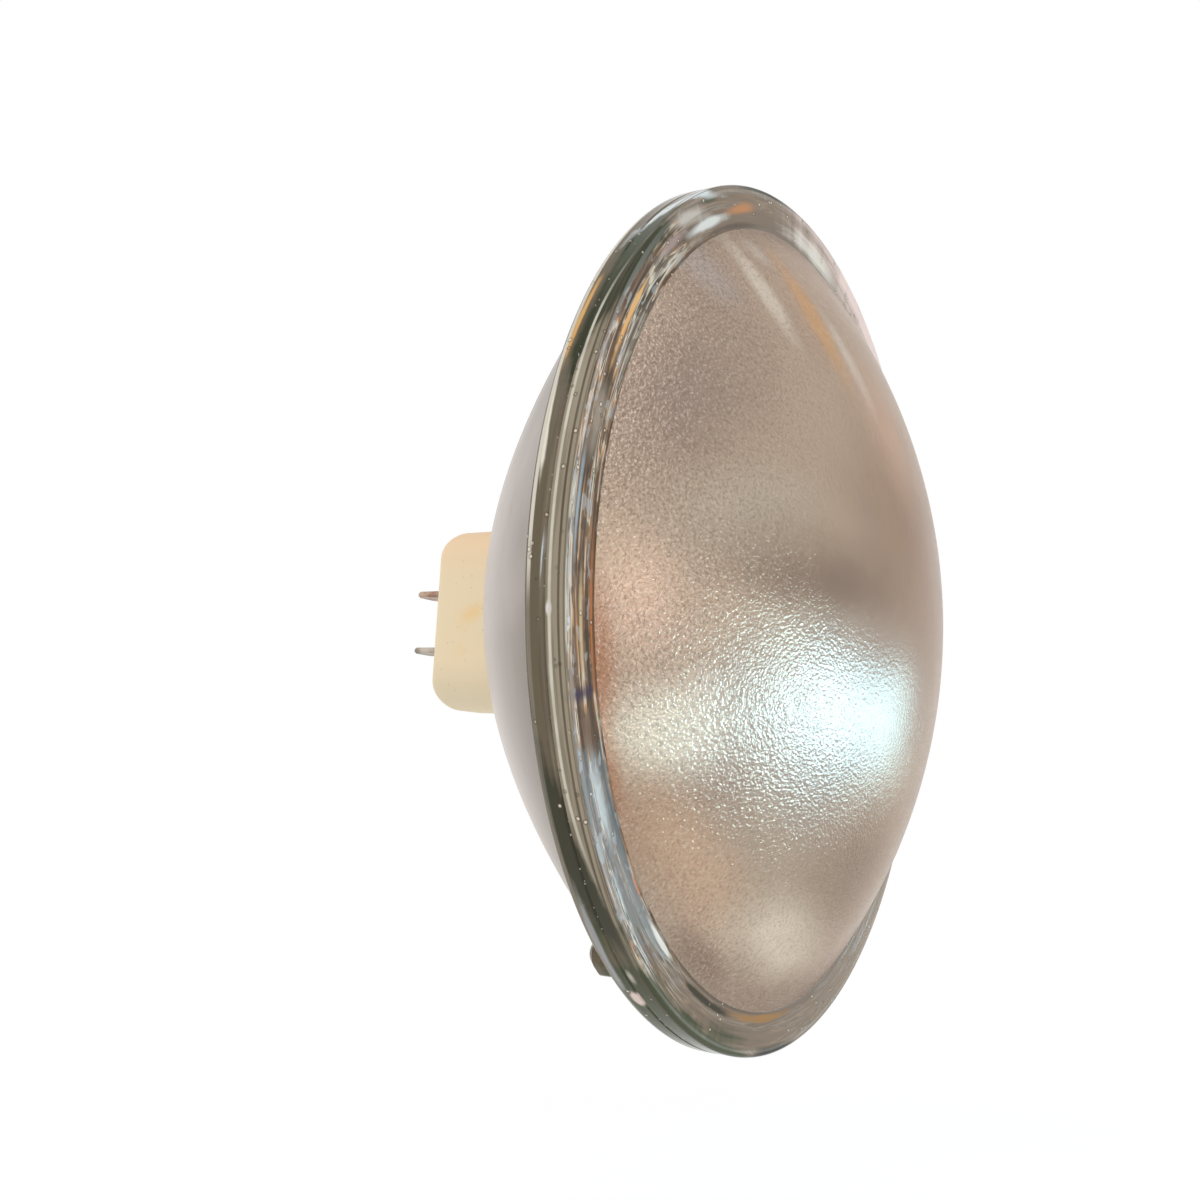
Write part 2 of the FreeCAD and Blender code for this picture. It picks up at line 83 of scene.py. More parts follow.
class Look:
    # a material's or the world's node tree
    def __init__(self, name, owner=None):
        self.owner = owner or bpy.data.materials.new(name)
        self.owner.use_nodes = True
        self.tree = self.owner.node_tree
        self.tree.nodes.clear()

    def node(self, kind, settings=None, inputs=None, out=0):
        made = self.tree.nodes.new(kind)
        for key, value in (settings or {}).items():
            if key == "stops":
                ramp = made.color_ramp
                while len(ramp.elements) < len(value):
                    ramp.elements.new(0.5)
                for element, (place, colour) in zip(ramp.elements, value):
                    element.position = place
                    element.color = (*colour, 1.0)
            else:
                setattr(made, key, value)
        for key, value in (inputs or {}).items():
            if isinstance(value, Link):
                self.tree.links.new(value.socket, made.inputs[key])
            else:
                made.inputs[key].default_value = value
        return Link(self, made.outputs[out])

    def place(self):
        return self.node("ShaderNodeTexCoord", out="Object")

    def axes(self, vector):
        x = self.node("ShaderNodeSeparateXYZ", None, {0: vector}, out="X")
        return x, x.other("Y"), x.other("Z")

    def join(self, x, y, z):
        return self.node("ShaderNodeCombineXYZ", None, {0: x, 1: y, 2: z})

    def stretched(self, vector, factors):
        return self.join(*[axis * factor for axis, factor in zip(self.axes(vector), factors)])

    def noise(self, vector, scale, detail=2.0, rough=0.5, bend=0.0):
        values = {"Vector": vector, "Scale": scale, "Detail": detail, "Roughness": rough, "Distortion": bend}
        return self.node("ShaderNodeTexNoise", None, values)

    def cells(self, vector, scale, feature="F1"):
        return self.node("ShaderNodeTexVoronoi", {"feature": feature}, {"Vector": vector, "Scale": scale})

    def between(self, value, low, high, start=0.0, end=1.0):
        # smooth step from low to high
        values = {"Value": value, "From Min": low, "From Max": high, "To Min": start, "To Max": end}
        return self.node("ShaderNodeMapRange", {"interpolation_type": "SMOOTHSTEP"}, values)

    def band(self, value, middle, half, soft):
        # 1 within half of the middle, with a soft edge on both sides
        rising = self.between(value, middle - half - soft, middle - half)
        falling = self.between(value, middle + half, middle + half + soft)
        return rising * (1 - falling)

    def oval(self, vector, x, z, length, width, turn, ragged=0.0):
        # 1 in the middle of an oval that runs through the piece along Y, 0 outside it; sizes in mm
        endless = 1e4
        values = {"Vector": vector, "Location": (x * mm, 0, z * mm), "Rotation": (0, math.radians(-turn), 0),
                  "Scale": (length * mm, endless, width * mm)}
        put = self.node("ShaderNodeMapping", {"vector_type": "TEXTURE"}, values)
        away = self.node("ShaderNodeVectorMath", {"operation": "LENGTH"}, {0: put}, out="Value")
        return self.between(away + ragged, 1.0, 0.0)

    def mix(self, factor, first, second):
        values = {0: factor, 6: tint(first), 7: tint(second)}
        return self.node("ShaderNodeMix", {"data_type": "RGBA"}, values, out=2)

    def ramp(self, factor, stops):
        return self.node("ShaderNodeValToRGB", {"stops": stops}, {0: factor})

    def bump(self, height, distance, strength):
        values = {"Height": height, "Distance": distance, "Strength": strength}
        return self.node("ShaderNodeBump", None, values)

    def principled(self, **values):
        names = {"baseColor": "Base Color", "coat": "Coat Weight", "coatRoughness": "Coat Roughness",
                 "transmission": "Transmission Weight", "specular": "Specular IOR Level", "ior": "IOR",
                 "edgeTint": "Specular Tint", "glow": "Emission Color", "glowStrength": "Emission Strength"}
        inputs = {names.get(key, key.capitalize()): value for key, value in values.items()}
        for key in ("Base Color", "Emission Color", "Specular Tint"):
            if key in inputs:
                inputs[key] = tint(inputs[key])
        return self.node("ShaderNodeBsdfPrincipled", None, inputs)

    def blendShaders(self, factor, first, second):
        return self.node("ShaderNodeMixShader", None, {0: factor, 1: first, 2: second})

    def seenPlain(self):
        # 1 for what the camera, a reflection or glass looks at directly
        path = self.node("ShaderNodeLightPath", out="Is Camera Ray")
        glossy = path.sum("MAXIMUM", path, path.other("Is Glossy Ray"))
        return path.sum("MAXIMUM", glossy, path.other("Is Transmission Ray"))

    def finish(self, shader):
        owned = "World" if isinstance(self.owner, bpy.types.World) else "Material"
        output = self.tree.nodes.new("ShaderNodeOutput" + owned)
        self.tree.links.new(shader.socket, output.inputs["Surface"])
        return self.owner


def tint(colour):
    # a colour given as three numbers gets its alpha
    if isinstance(colour, Link) or len(colour) == 4:
        return colour
    return (*colour, 1.0)


def paint(red, green, blue):
    # screen colour, 0 to 255, as the linear colour that a shader takes
    def linear(level):
        level /= 255
        return level / 12.92 if level <= 0.04045 else ((level + 0.055) / 1.055) ** 2.4
    return linear(red), linear(green), linear(blue)


# Camera at the photograph's viewing angle

camera = {
    "location": (-0.29441, -0.12894, -0.04068),
    "right": (0.5116, -0.8576, 0.0536),
    "up": (-0.1419, -0.0229, 0.9896),
    "lens": 39.6, "sensor": 36.0, "nearest": 0.01,
}


def makeCamera(values):
    data = bpy.data.cameras.new("camera")
    data.lens = values["lens"]
    data.sensor_width = values["sensor"]
    data.clip_start = values["nearest"]
    made = bpy.data.objects.new("camera", data)
    bpy.context.scene.collection.objects.link(made)
    right = Vector(values["right"]).normalized()
    back = right.cross(Vector(values["up"])).normalized()
    up = back.cross(right)
    turn = Matrix((right, up, back)).transposed().to_4x4()
    made.matrix_world = Matrix.Translation(values["location"]) @ turn
    bpy.context.scene.camera = made


makeCamera(camera)
print("stage: camera")


# Lamp's sizes, as in the CAD, in mm

glass = {
    "rim": 101.6, "lensFlange": 4.3, "bowlFlange": 5.1, "chamfer": 0.35,
    "frontCorner": 0.8, "rearCorner": 2.2,
    "domeEdge": 92.0, "domeRise": 30.9, "wall": 4.5, "domeRoot": 1.2,
    "focal": 36.245, "mouth": 95.0, "wallAtRim": 6.3, "flangeRoot": 1.2,
    "padLength": 4.3, "padWidth": 3.2, "padCentre": 97.9, "padHeight": 3.0, "padChamfer": 1.1,
    "firstPad": 20.6, "padCount": 3,
    "bossLength": 18.0, "bossWidth": 7.0, "bossHeight": 5.25,
    "exhaust": 3.0, "exhaustLength": 7.0, "exhaustChamfer": 2.4,
    "ferrule": 3.6, "ferruleSpacing": 22.0, "ferruleStart": 52.0,
    # mesh steps
    "segments": 256, "curveSteps": 64, "insideSteps": 40, "barSegments": 40, "endSteps": 24,
}
glass["domeRadius"] = (glass["domeEdge"] ** 2 + glass["domeRise"] ** 2) / (2 * glass["domeRise"])
glass["domeCentre"] = glass["domeRadius"] - glass["lensFlange"] - glass["domeRise"]
glass["mirrorDepth"] = glass["mouth"] ** 2 / (4 * glass["focal"])
glass["bowlDepth"] = glass["mirrorDepth"] + glass["wall"]
mirrorAtFlange = math.sqrt(4 * glass["focal"] * (glass["mirrorDepth"] - glass["bowlFlange"]))
glass["bowlMouth"] = glass["wallAtRim"] + mirrorAtFlange
glass["outerFocal"] = glass["bowlMouth"] ** 2 / (4 * (glass["bowlDepth"] - glass["bowlFlange"]))


# Finishes

lensLook = {
    "taupe": paint(216, 195, 173), "mauve": paint(197, 175, 157), "cloudScale": 16.0,
    # the dark and light grain colours paint shade and glints in the stipple
    "grainShade": paint(120, 104, 92), "glint": paint(255, 244, 232), "grainScale": 1500.0, "grainStrength": 0.34,
    "edgeTint": (0.80, 0.66, 0.56), "metallic": 0.5, "transmission": 1.0, "ior": 1.47,
    "roughness": 0.17, "roughnessSpread": 0.08, "roughnessScale": 90.0,
    "stippleScale": 1700.0, "stippleDepth": 0.00026, "stippleStrength": 0.8, "stippleInMiddle": 0.4,
    "peelScale": 1190.0, "pitShare": 0.5,
    # noise levels over which a colour comes in
    "cloudLevels": (0.35, 0.65), "grainShadeLevels": (0.47, 0.34), "glintLevels": (0.56, 0.68),
    # metres from the axis, from the least to the full strength
    "stippleGrows": (0.015, 0.070), "grainGrows": (0.020, 0.095),
    "raggedScale": 45.0, "raggedness": 0.5,
    # painted reflections, painted highlights and painted shade on the lens: x, z, half length, half width, turn
    # from X towards Z, colour, strength
    "paintedLightAndShade": [
        (-74, 36, 36, 26, 50, paint(182, 163, 150), 0.9),
        (-84, -6, 18, 13, 90, paint(246, 216, 194), 0.9),
        (-40, 1, 34, 8, 4, paint(150, 126, 108), 0.6),
        (-6, -84, 26, 9, 0, paint(168, 142, 118), 0.6),
        (-73, -32, 22, 15, 10, paint(255, 248, 230), 1.15),
        (-30, -26, 62, 32, 0, paint(198, 194, 190), 0.7),
        (-60, 14, 34, 14, 20, paint(216, 206, 190), 0.6),
        (-36, 4, 48, 15, 0, paint(160, 140, 126), 0.6),
        (-72, -50, 24, 12, -40, paint(190, 158, 132), 0.7),
        (-58, -57, 36, 12, -38, paint(232, 200, 172), 0.9),
        (-20, -73, 33, 13, -14, paint(255, 242, 222), 1.4),
        (-44, -77, 22, 4.5, -30, paint(166, 142, 126), 0.8),
        (-4, 26, 34, 34, 0, paint(176, 148, 124), 0.8),
        (-2, -58, 34, 24, 0, paint(168, 145, 125), 0.8),
        (-42, 66, 18, 5.6, -73, paint(255, 246, 230), 1.5),
        (-36, 78, 6, 5, -20, paint(232, 224, 210), 1.0),
        (-25, 66, 22, 8.0, -75, paint(240, 192, 130), 1.3),
        (-14, 56, 20, 5.0, -68, paint(255, 250, 240), 1.1),
        (-2, 44, 26, 20, -60, paint(238, 204, 176), 0.85),
        (-58, 66, 14, 9, -50, paint(206, 196, 190), 0.8),
        (-89, -20, 24, 4.5, 101, paint(196, 128, 88), 0.7),
        (-83, -40, 16, 4.0, 116, paint(196, 128, 84), 0.7),
    ],
}


def makeDome(values):
    look = Look("stippledLens")
    spot = look.place()
    x, y, z = look.axes(spot)
    radius = (x * x + z * z) ** 0.5
    pits = look.cells(spot, values["stippleScale"], "SMOOTH_F1")
    peel = look.noise(spot, values["peelScale"], 2.0, 0.6)
    grown = look.between(radius, *values["stippleGrows"], values["stippleInMiddle"])
    height = (pits * values["pitShare"] + peel) * grown
    clouds = look.noise(spot, values["cloudScale"], 2.0, 0.5)
    tone = look.mix(look.between(clouds, *values["cloudLevels"]), values["taupe"], values["mauve"])
    ragged = (look.noise(spot, values["raggedScale"], 3.0, 0.6) - 0.5) * values["raggedness"]
    # the ovals paint reflections, highlights and shade onto the lens's colour
    for across, up, length, width, turn, colour, strength in values["paintedLightAndShade"]:
        stainAndPaintedLight = look.oval(spot, across, up, length, width, turn, ragged)
        tone = look.mix(stainAndPaintedLight * strength, tone, colour)
    # painted shade and painted glints in the stipple's grain, stronger away from the axis
    grain = look.noise(spot, values["grainScale"], 1.5, 0.6)
    outer = look.between(radius, *values["grainGrows"]) * values["grainStrength"]
    tone = look.mix(look.between(grain, *values["grainShadeLevels"]) * outer, tone, values["grainShade"])
    tone = look.mix(look.between(grain, *values["glintLevels"]) * outer, tone, values["glint"])
    rough = values["roughness"] + values["roughnessSpread"] * look.noise(spot, values["roughnessScale"])
    bump = look.bump(height, values["stippleDepth"], values["stippleStrength"])
    shader = look.principled(baseColor=tone, metallic=values["metallic"], roughness=rough, ior=values["ior"],
                             transmission=values["transmission"], edgeTint=values["edgeTint"], normal=bump)
    return look.finish(shader)


rimLook = {
    # the rim's colours are partly the glass's olive tint and partly painted reflection of dark surroundings;
    # line and white paint highlights, the bluish-white paints a sheen, shade paints shade, and the streak
    # colours paint reflections of the mirror's edge
    "deep": paint(118, 106, 86), "olive": paint(172, 160, 138), "shade": paint(84, 72, 58),
    "line": paint(232, 226, 210), "white": paint(252, 252, 248), "brown": paint(116, 84, 62),
    "amber": paint(208, 152, 102), "grey": paint(160, 150, 136), "cream": paint(252, 238, 216),
    "calm": paint(142, 122, 104), "paintedSheen": paint(206, 210, 214),
    "roughness": 0.05, "roughnessSpread": 0.03, "transmission": 0.25, "ior": 1.5,
    "rimSpecular": 0.06, "faceSpecular": 0.03,
    "reliefDepth": 0.0006, "reliefStrength": 0.25, "layerRelief": 0.4,
    # noises along the ring: scale round it, scale inward, detail, roughness, distortion
    "streaks": (2.6, 560.0, 2.5, 0.55, 0.15), "layers": (3.0, 700.0, 3.0, 0.55, 0.0),
    "along": (9.0, 0.0, 3.0, 0.6, 0.0), "blocks": (16.0, 420.0, 2.0, 0.6, 0.0),
    "glints": (70.0, 900.0, 2.0, 0.5, 0.0),
    # noise levels, and the shares of a colour that they give
    "layerShade": (0.5, 0.6, 0.0, 0.3), "blockShade": (0.56, 0.62, 0.0, 0.6),
    "blockSheen": (0.42, 0.37, 0.0, 0.4), "seamLineVaries": (0.4, 0.6, 0.75, 1.0),
    "whiteLineVaries": (0.5, 0.66, 0.0, 0.75), "whiteLineLeast": 0.2, "whiteLineFade": 0.85,
    "glintLevels": (0.5, 0.62),
    "calmStreaks": 0.12, "busyStreaks": 0.83, "raggedStreaks": 1.1, "raggedAlong": 0.9,
    # small drops: distances from a cell's middle, and shares
    "dropScale": 330.0, "dropPatchScale": 60.0, "dropPatchLevels": (0.46, 0.56),
    "dropFill": (0.13, 0.07, 0.0, 0.9), "dropRing": (0.16, 0.02, 0.04), "dropRingStrength": 0.5,
    # levels of the streaks and their colours
    "stops": [(0.36, "shade"), (0.43, "brown"), (0.50, "calm"), (0.53, "amber"), (0.555, "cream"),
              (0.58, "brown"), (0.62, "grey"), (0.66, "cream"), (0.70, "shade")],
    # radians round the ring: middle, half and soft edge of the busy part; start, end and shares of the others
    "busy": (-0.04, 0.72, 0.35), "seamRises": (0.40, 1.0),
    "seamFades": (0.44, 0.66, 1.0, 0.15), "rearLineGrows": (-0.12, 0.0, 0.15, 1.15),
    # metres along Y over which the outside gives way to the inside of the rim, and their signs
    "sideTurns": (0.0, -0.0006, -1.0, 1.0),
    # mm inward from the front corner
    "faceStart": 0.2, "faceFull": 0.6, "seamPlace": -3.1, "seamRise": 4.4, "deepBehind": 2.6,
    # lines: mm inward from the front corner or the seam, half width, soft edge, and strength; the light lines
    # are painted highlights and the dark lines painted shade
    "seamLine": (0.0, 0.2, 0.2), "rearLine": (-7.8, 0.4, 0.3), "whiteLine": (1.5, 0.4, 0.4),
    "darkLines": [(-1.2, 0.15, 0.2, 0.75), (0.0, 0.1, 0.2, 0.5), (9.8, 0.2, 0.4, 0.5)],
    # painted reflections, painted highlights and painted shade on the rim: degrees round the ring from -X
    # towards +Z, half length, mm in from the front corner, half width, turn, colour, strength
    "patches": [
        (-64, 27, -3.4, 9.0, 0, paint(72, 78, 50), 3.0),
        (-34, 18, -4.6, 2.8, -6, paint(70, 68, 52), 2.2),
        (-45, 15, 6.0, 3.8, 0, paint(130, 110, 92), 1.1),
        (-66, 12, 8.0, 1.3, 0, paint(64, 58, 38), 2.0),
        (-84, 13, 8.2, 1.4, 0, paint(176, 128, 74), 1.6),
        (-50, 5, 8.7, 0.9, 0, paint(252, 244, 232), 1.8),
        (-41, 3, 9.2, 0.6, 0, paint(210, 130, 70), 1.5),
        (-47, 9, -6.9, 1.1, 0, paint(166, 168, 168), 1.6),
        (-55.5, 1.8, -5.2, 1.8, 0, paint(236, 214, 204), 1.8),
        (-50.5, 1.8, -3.3, 1.0, 0, paint(200, 190, 176), 1.0),
        (-90, 10, 0.2, 2.4, 0, paint(38, 32, 26), 1.8),
        (-28, 7, 5.4, 2.6, 0, paint(222, 224, 222), 0.75),
        (-15.5, 1.2, 4.8, 6.0, 0, paint(70, 62, 84), 0.9),
        (-9, 9, 5.6, 1.0, 0, paint(238, 206, 160), 0.9),
        (-8, 14, 9.2, 0.9, 0, paint(206, 128, 76), 0.95),
        (4, 9, 3.0, 0.8, 0, paint(190, 206, 214), 0.8),
        (-1, 3.6, -4.9, 0.3, 2, paint(226, 240, 246), 1.0),
        (-6.5, 1.0, -3.2, 0.8, 0, paint(255, 255, 252), 1.4),
        (-13, 3, -3.2, 0.6, 0, paint(240, 236, 224), 0.9),
        (15, 9, -7.4, 0.8, -3, paint(254, 248, 230), 1.8),
        (33, 17, -1.4, 3.4, 8, paint(58, 62, 36), 3.0),
        (42, 12, -2.6, 3.4, 3, paint(66, 76, 50), 1.6),
        (27, 8, -6.7, 0.9, 2, paint(240, 188, 114), 1.8),
        (29, 12, 8.2, 1.2, 0, paint(108, 90, 76), 1.2),
        (15, 5, 5.0, 3.2, 0, paint(206, 190, 170), 0.6),
        (33, 8, 3.9, 0.5, 0, paint(84, 70, 58), 1.5),
        (31, 10, 5.2, 0.9, 0, paint(254, 194, 122), 2.2),
        (45, 6, 5.0, 1.5, 0, paint(178, 154, 146), 1.2),
        (52, 7, 3.4, 2.0, 6, paint(214, 202, 190), 1.4),
        (57, 8, 6.8, 1.4, 0, paint(240, 238, 232), 1.3),
        (58, 4, 2.2, 0.9, 8, paint(96, 92, 72), 1.2),
        (52, 12, -1.6, 1.7, 11, paint(238, 246, 248), 2.4),
        (68, 7, 5.2, 1.7, -3, paint(204, 140, 88), 1.2),
        (75, 13, 0.4, 1.5, 0, paint(44, 42, 38), 2.0),
        (64, 13, 9.0, 0.9, 0, paint(112, 92, 78), 1.4),
        (122, 46, 2.0, 9.0, 0, paint(255, 226, 216), 1.2),
        (96, 14, 7.0, 3.4, 0, paint(250, 240, 228), 0.85),
        (-132, 46, 2.0, 9.0, 0, paint(170, 146, 126), 0.85),
    ],
}


def makeRim(name, values, specular):
    look = Look(name)
    spot = look.place()
    x, y, z = look.axes(spot)
    radius = (x * x + z * z) ** 0.5
    # from the front corner round the rim's section, less than 0 on the cylinder and behind it
    side = look.between(y, *values["sideTurns"])
    inward = (glass["rim"] * mm - radius) * side - y - glass["lensFlange"] * mm
    turn = x.sum("ARCTAN2", z, 0 - x)
    away = turn.sum("ABSOLUTE", turn)
    unrolled = look.join(turn * glass["rim"] * mm, 0.0, inward)

    def alongRing(lengthwise, across, detail, rough, bend):
        # noise that runs along the ring without a join
        vector = look.join(x / radius * lengthwise, z / radius * lengthwise, inward * across)
        return look.noise(vector, 1.0, detail, rough, bend)

    def line(value, place, half, soft):
        return look.band(value, place * mm, half * mm, soft * mm)

    streaks = alongRing(*values["streaks"])
    layers = alongRing(*values["layers"])
    along = alongRing(*values["along"])
    blocks = alongRing(*values["blocks"])
    glints = look.between(alongRing(*values["glints"]), *values["glintLevels"])
    # the joint's painted highlight line runs towards the front corner higher up and lower down
    rise = look.between(away, *values["seamRises"])
    fade = look.between(away, *values["seamFades"])
    seam = inward - values["seamPlace"] * mm - values["seamRise"] * mm * rise
    tone = look.mix(look.between(seam, 0.0, -values["deepBehind"] * mm), values["olive"], values["deep"])
    tone = look.mix(look.between(layers, *values["layerShade"]), tone, values["shade"])
    # the flat front face is calm, with coloured streaks of painted reflection where it is busy
    onFace = look.between(inward, values["faceStart"] * mm, values["faceFull"] * mm)
    busy = look.band(turn, *values["busy"])
    streaked = look.ramp(streaks, [(level, values[colour]) for level, colour in values["stops"]])
    tone = look.mix(onFace, tone, values["calm"])
    tone = look.mix(onFace * (values["calmStreaks"] + values["busyStreaks"] * busy), tone, streaked)
    # painted shade and painted pale reflection in blocks where the face is busy
    tone = look.mix(onFace * busy * look.between(blocks, *values["blockShade"]), tone, values["shade"])
    tone = look.mix(onFace * busy * look.between(blocks, *values["blockSheen"]), tone, values["paintedSheen"])
    ragged = (streaks - 0.5) * values["raggedStreaks"] + (along - 0.5) * values["raggedAlong"]
    # the patches paint reflections, highlights and shade onto the rim
    for degrees, length, place, width, slant, colour, strength in values["patches"]:
        arc = math.radians(degrees) * glass["rim"]
        half = math.radians(length) * glass["rim"]
        patch = look.oval(unrolled, arc, place, half, width, slant, ragged)
        tone = look.mix(patch * strength, tone, colour)
    # painted highlights along the seam, the rear edge and the front corner, then painted shade along the dark
    # lines
    uneven = look.between(along, *values["seamLineVaries"])
    tone = look.mix(line(seam, *values["seamLine"]) * uneven * fade, tone, values["line"])
    rear = look.between(turn, *values["rearLineGrows"])
    tone = look.mix(line(inward, *values["rearLine"]) * rear, tone, values["line"])
    lively = values["whiteLineLeast"] + look.between(along, *values["whiteLineVaries"]) * glints
    lively = lively * (1 - values["whiteLineFade"] * rise)
    tone = look.mix(line(inward, *values["whiteLine"]) * lively, tone, values["white"])
    for place, half, soft, strength in values["darkLines"]:
        tone = look.mix(line(inward, place, half, soft) * strength, tone, values["shade"])
    # small drops with a darker ring
    drops = look.cells(spot, values["dropScale"])
    some = look.between(look.noise(spot, values["dropPatchScale"]), *values["dropPatchLevels"])
    edges = look.band(drops, *values["dropRing"]) * values["dropRingStrength"]
    tone = look.mix(edges * some, tone, values["shade"])
    tone = look.mix(look.between(drops, *values["dropFill"]) * some, tone, values["cream"])
    relief = layers * values["layerRelief"] + streaks
    bump = look.bump(relief, values["reliefDepth"], values["reliefStrength"])
    rough = values["roughness"] + values["roughnessSpread"] * layers
    shader = look.principled(baseColor=tone, metallic=0.0, roughness=rough, ior=values["ior"],
                             transmission=values["transmission"], specular=specular, normal=bump)
    return look.finish(shader)


def makeJoint():
    # fused joint inside the glass: nothing to see
    look = Look("fusedJoint")
    spot = look.place()
    clear = look.noise(spot, 50.0) * 0.0
    return look.finish(look.principled(baseColor=(0.8, 0.8, 0.8), alpha=clear, roughness=0.5))


backLook = {
    "pale": paint(193, 180, 169), "low": paint(255, 238, 228), "edge": paint(106, 88, 72),
    "mauve": paint(178, 164, 157), "scuff": paint(112, 100, 94),
    "metallic": 0.25, "roughness": 0.42, "coat": 0.4, "coatRoughness": 0.2,
    # metres: heights over which painted light makes it lighter towards the bottom, distances from the axis over
    # which painted shade makes it darker towards the rim
    "paintedLightBelow": (-0.010, -0.070), "paintedShadeOutward": (0.050, 0.102),
    "cloudScale": 22.0, "cloudLevels": (0.4, 0.7, 0.0, 0.5),
    "scuffScale": (500.0, 500.0, 90.0), "scuffLevels": (0.56, 0.8, 0.0, 0.35),
    "grainScale": 1400.0, "grainDepth": 0.00002, "grainStrength": 0.3,
}


def makeBack(values):
    look = Look("satinBack")
    spot = look.place()
    x, y, z = look.axes(spot)
    radius = (x * x + z * z) ** 0.5
    # painted light towards the bottom and painted shade towards the rim
    pale = look.mix(look.between(z, *values["paintedLightBelow"]), values["pale"], values["low"])
    tone = look.mix(look.between(radius, *values["paintedShadeOutward"]), pale, values["edge"])
    clouds = look.noise(spot, values["cloudScale"], 3.0)
    tone = look.mix(look.between(clouds, *values["cloudLevels"]), tone, values["mauve"])
    scuffs = look.noise(look.stretched(spot, values["scuffScale"]), 1.0, 2.0, 0.6)
    tone = look.mix(look.between(scuffs, *values["scuffLevels"]), tone, values["scuff"])
    bump = look.bump(look.noise(spot, values["grainScale"], 2.0), values["grainDepth"], values["grainStrength"])
    shader = look.principled(baseColor=tone, metallic=values["metallic"], roughness=values["roughness"],
                             coat=values["coat"], coatRoughness=values["coatRoughness"], normal=bump)
    return look.finish(shader)


mirrorLook = {
    "dark": paint(214, 210, 204), "light": paint(232, 229, 224), "filmScale": 60.0,
    "roughness": 0.06, "roughnessSpread": 0.05,
}


def makeMirror(values):
    look = Look("mirrorFilm")
    spot = look.place()
    film = look.noise(spot, values["filmScale"], 3.0)
    tone = look.mix(film, values["dark"], values["light"])
    rough = values["roughness"] + values["roughnessSpread"] * film
    return look.finish(look.principled(baseColor=tone, metallic=1.0, roughness=rough))


bubbleLook = {
    "dark": paint(214, 206, 190), "light": paint(250, 248, 242), "cloudScale": 800.0,
    "roughness": 0.05, "ior": 1.5, "transmission": 0.4,
}


def makeBubble(values):
    look = Look("clearBubble")
    spot = look.place()
    tone = look.mix(look.noise(spot, values["cloudScale"]), values["dark"], values["light"])
    return look.finish(look.principled(baseColor=tone, roughness=values["roughness"], ior=values["ior"],
                                       transmission=values["transmission"]))


finishes = {
    "dome": makeDome(lensLook),
    "rim": makeRim("clearRim", rimLook, rimLook["rimSpecular"]),
    "face": makeRim("clearFace", rimLook, rimLook["faceSpecular"]),
    "joint": makeJoint(),
    "mirror": makeMirror(mirrorLook),
    "back": makeBack(backLook),
    "bubble": makeBubble(bubbleLook),
}
print("stage: glass finishes")


# Glass pieces: sections in mm that are turned round the axis

def arcPoints(centre, radius, start, end, count):
    # points of an arc, angles in degrees from the radial direction towards +Y
    points = []
    for step in range(count + 1):
        angle = math.radians(start + (end - start) * step / count)
        points.append((centre[0] + radius * math.cos(angle), centre[1] + radius * math.sin(angle)))
    return points


def lensProfile(g):
    # closed section of the lens with a finish for each run
    big, centre = g["domeRadius"], g["domeCentre"]
    front, corner, root = -g["lensFlange"], g["frontCorner"], g["domeRoot"]
    rootY = front - root
    rootR = math.sqrt((big + root) ** 2 - (centre - rootY) ** 2)
    towards = math.degrees(math.atan2(centre - rootY, rootR))
    limit = 90 - towards
    dome = []
    for index in range(g["curveSteps"] + 1):
        angle = math.radians(limit * index / g["curveSteps"])
        dome.append((big * math.sin(angle), centre - big * math.cos(angle)))
    runs = [("dome", dome)]
    runs.append(("face", arcPoints((rootR, rootY), root, 180 - towards, 90, 8)))
    runs.append(("face", [(r, front) for r in (rootR + 2, rootR + 4, rootR + 6, g["rim"] - corner)]))
    runs.append(("rim", arcPoints((g["rim"] - corner, front + corner), corner, -90, 0, 8)))
    runs.append(("rim", [(g["rim"], y) for y in (-2.4, -1.3, -g["chamfer"])]))
    runs.append(("rim", [(g["rim"] - g["chamfer"], 0)]))
    inner = big - g["wall"]
    seamR = math.sqrt(inner ** 2 - centre ** 2)
    runs.append(("joint", [(g["mouth"], 0)]))
    runs.append(("rim", [(seamR, 0)]))
    seam = math.asin(seamR / inner)
    inside = []
    for index in range(1, g["insideSteps"] + 1):
        angle = seam * (1 - index / g["insideSteps"])
        inside.append((inner * math.sin(angle), centre - inner * math.cos(angle)))
    runs.append(("dome", inside))
    return runs


def bowlProfile(g):
    # closed section of the bowl, from the mirror's middle to the middle of its back
    rim, back, corner, root = g["rim"], g["bowlFlange"], g["rearCorner"], g["flangeRoot"]
    steps = g["curveSteps"]
    radii = [g["mouth"] * index / steps for index in range(steps + 1)]
    runs = [("mirror", [(r, g["mirrorDepth"] - r ** 2 / (4 * g["focal"])) for r in radii])]
    runs.append(("joint", [(rim - g["chamfer"], 0)]))
    runs.append(("rim", [(rim, g["chamfer"]), (rim, 1.6), (rim, back - corner)]))
    runs.append(("rim", arcPoints((rim - corner, back - corner), corner, 0, 90, 12)))
    # arc into the bowl's back, tangent to the flange and to the parabola
    rootY = back + root
    tangent = g["bowlMouth"]
    for _ in range(40):
        slope = tangent / (2 * g["outerFocal"])
        length = math.hypot(1, slope)
        onBack = g["bowlDepth"] - tangent ** 2 / (4 * g["outerFocal"])
        tangent -= 0.5 * (onBack + root / length - rootY) / -slope
    rootR = tangent + root * slope / length
    end = math.degrees(math.atan2(onBack - rootY, tangent - rootR))
    runs.append(("rim", arcPoints((rootR, rootY), root, -90, end if end < 0 else end - 360, 6)))
    radii = [tangent * (1 - index / steps) for index in range(1, steps + 1)]
    runs.append(("back", [(r, g["bowlDepth"] - r ** 2 / (4 * g["outerFocal"])) for r in radii]))
    return runs


